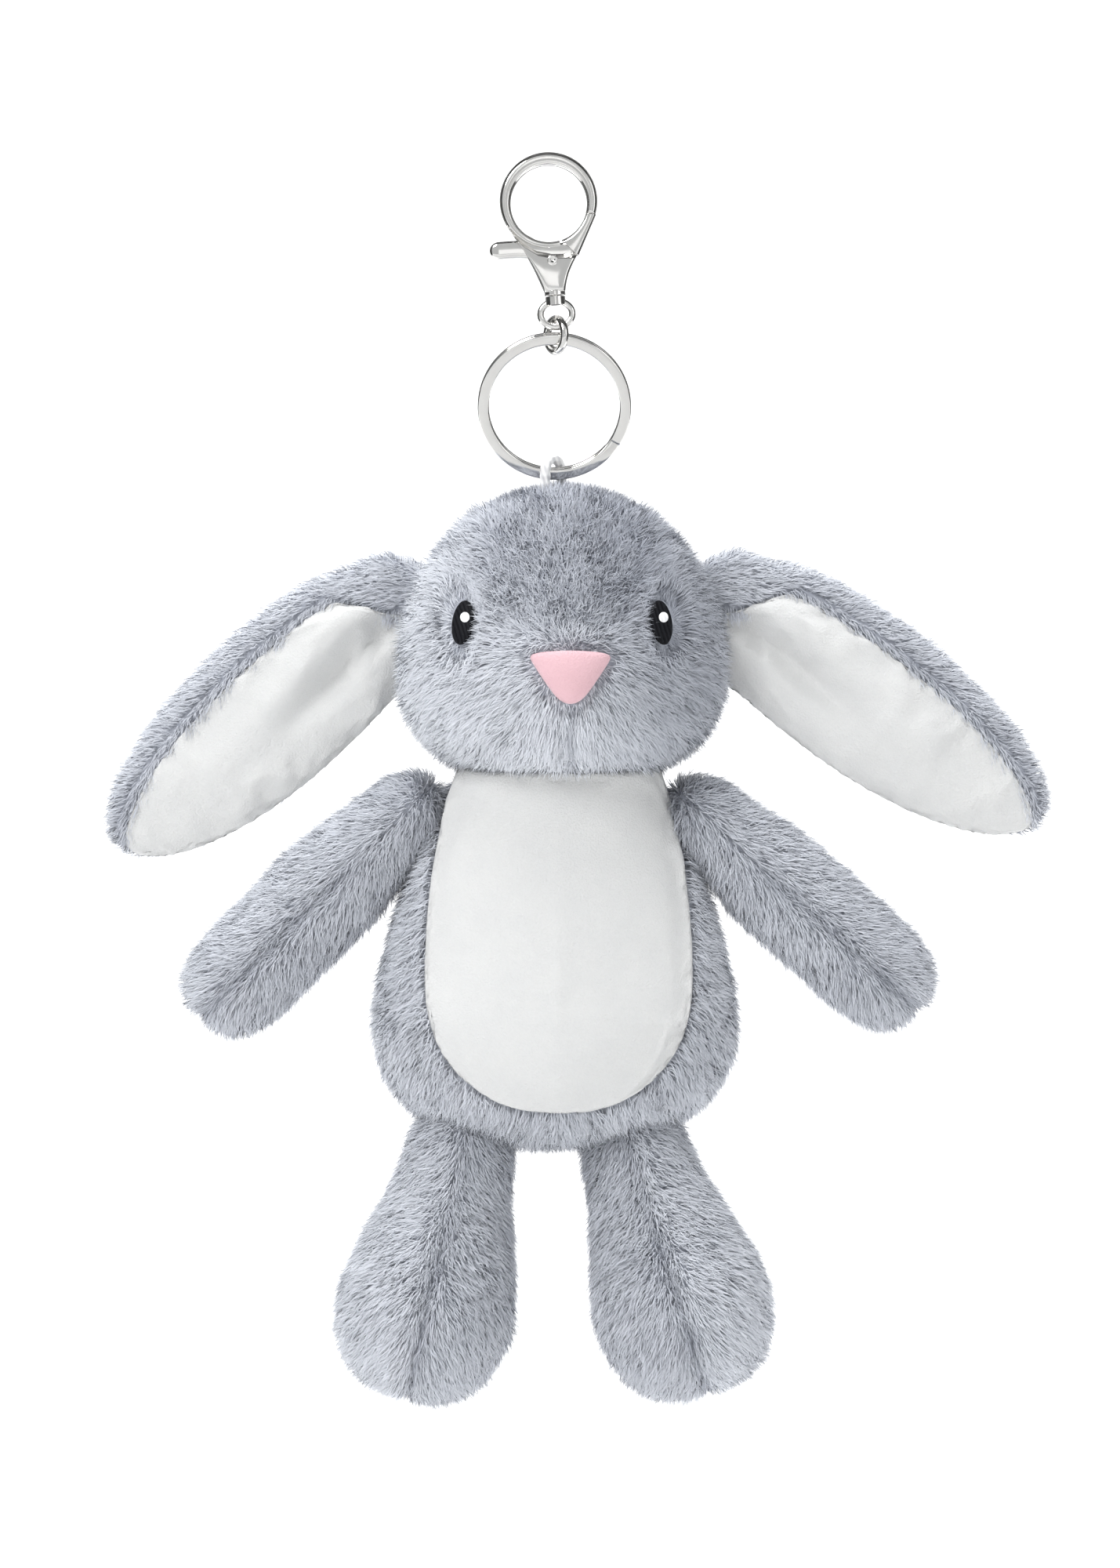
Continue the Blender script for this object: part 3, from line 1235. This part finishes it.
def board(name, corner, first, second, grey, glow=0.0):
    # a board, given by a corner and its two edges, that only the plated metal mirrors
    corner, first, second = (np.array(v, float) for v in (corner, first, second))
    mesh = bpy.data.meshes.new(name)
    places = [corner, corner + first, corner + first + second, corner + second]
    mesh.from_pydata([tuple(place) for place in places], [], [(0, 1, 2, 3)])
    paint = Paint(name + "Paint", Roughness=1.0, Base_Color=(grey, grey, grey, 1),
                  Emission_Color=(1, 1, 1, 1), Emission_Strength=glow)
    mesh.materials.append(paint.material)
    card = linked(name, mesh)
    card.visible_camera = False
    card.visible_diffuse = False
    card.visible_shadow = False


backdrop()
board("card_left", (-0.5, -0.25, -0.35), (0, 0.6, 0), (0, 0, 0.75), 0.03)
board("card_right", (0.5, -0.25, -0.35), (0, 0.6, 0), (0, 0, 0.75), 0.03)
board("card_high", (-0.5, -0.3, 0.4), (1.0, 0, 0), (0, 0.65, 0), 0.03)
board("card_back", (-0.5, 0.35, -0.28), (1.0, 0, 0), (0, 0, 0.68), 0.18)
board("card_front", (-0.1, -0.95, -0.16), (0.22, 0, 0), (0, 0, 0.24), 0.5, 0.5)
board("card_low", (-0.6, -0.7, -0.275), (1.2, 0, 0), (0, 0.62, 0), 0.52)
areaLight("keyLight", (-0.55, -0.6, 0.55), (0, 0, -0.12), 0.5, 6.5)
areaLight("fillLight", (0.8, -0.6, 0.15), (0, 0, -0.12), 0.7, 1.2)
areaLight("wallLight", (0.0, 0.1, 0.9), (0, 0.75, 0.0), 0.9, 12)


class Air(Paint):
    # the world's background, fed in the same way as a material
    def __init__(self, name):
        world = bpy.data.worlds.new(name)
        world.use_nodes = True
        bpy.context.scene.world = world
        self.tree = world.node_tree
        self.shader = self.tree.nodes["Background"]


def studioAir():
    # even daylight all round, dimmer from the viewer's side so that plated metal has contrast
    air = Air("studioAir")
    direction = air.node("ShaderNodeTexCoord", {}, {}, "Generated")
    away = air.node("ShaderNodeSeparateXYZ", {}, {0: direction}, "Y")
    share = (away * 0.5 + studio["dimReach"]) * (1 / studio["dimReach"])
    air.feed("Color", air.blend(share, studio["nearSky"], studio["farSky"]))
    air.shader.inputs["Strength"].default_value = studio["skyPower"]


studioAir()
camera = bpy.data.cameras.new("camera")
camera.lens = studio["lens"]
camera.sensor_width = 36.0
camera.clip_end = 20
distance = studio["seenHeight"] / camera.sensor_width * camera.lens
viewer = linked("camera", camera)
viewer.location = (studio["aim"][0], headY - distance, studio["aim"][1])
viewer.rotation_euler = (math.pi / 2, 0, 0)
bpy.context.scene.camera = viewer
bpy.context.scene.view_settings.view_transform = "Standard"

print("scene made")
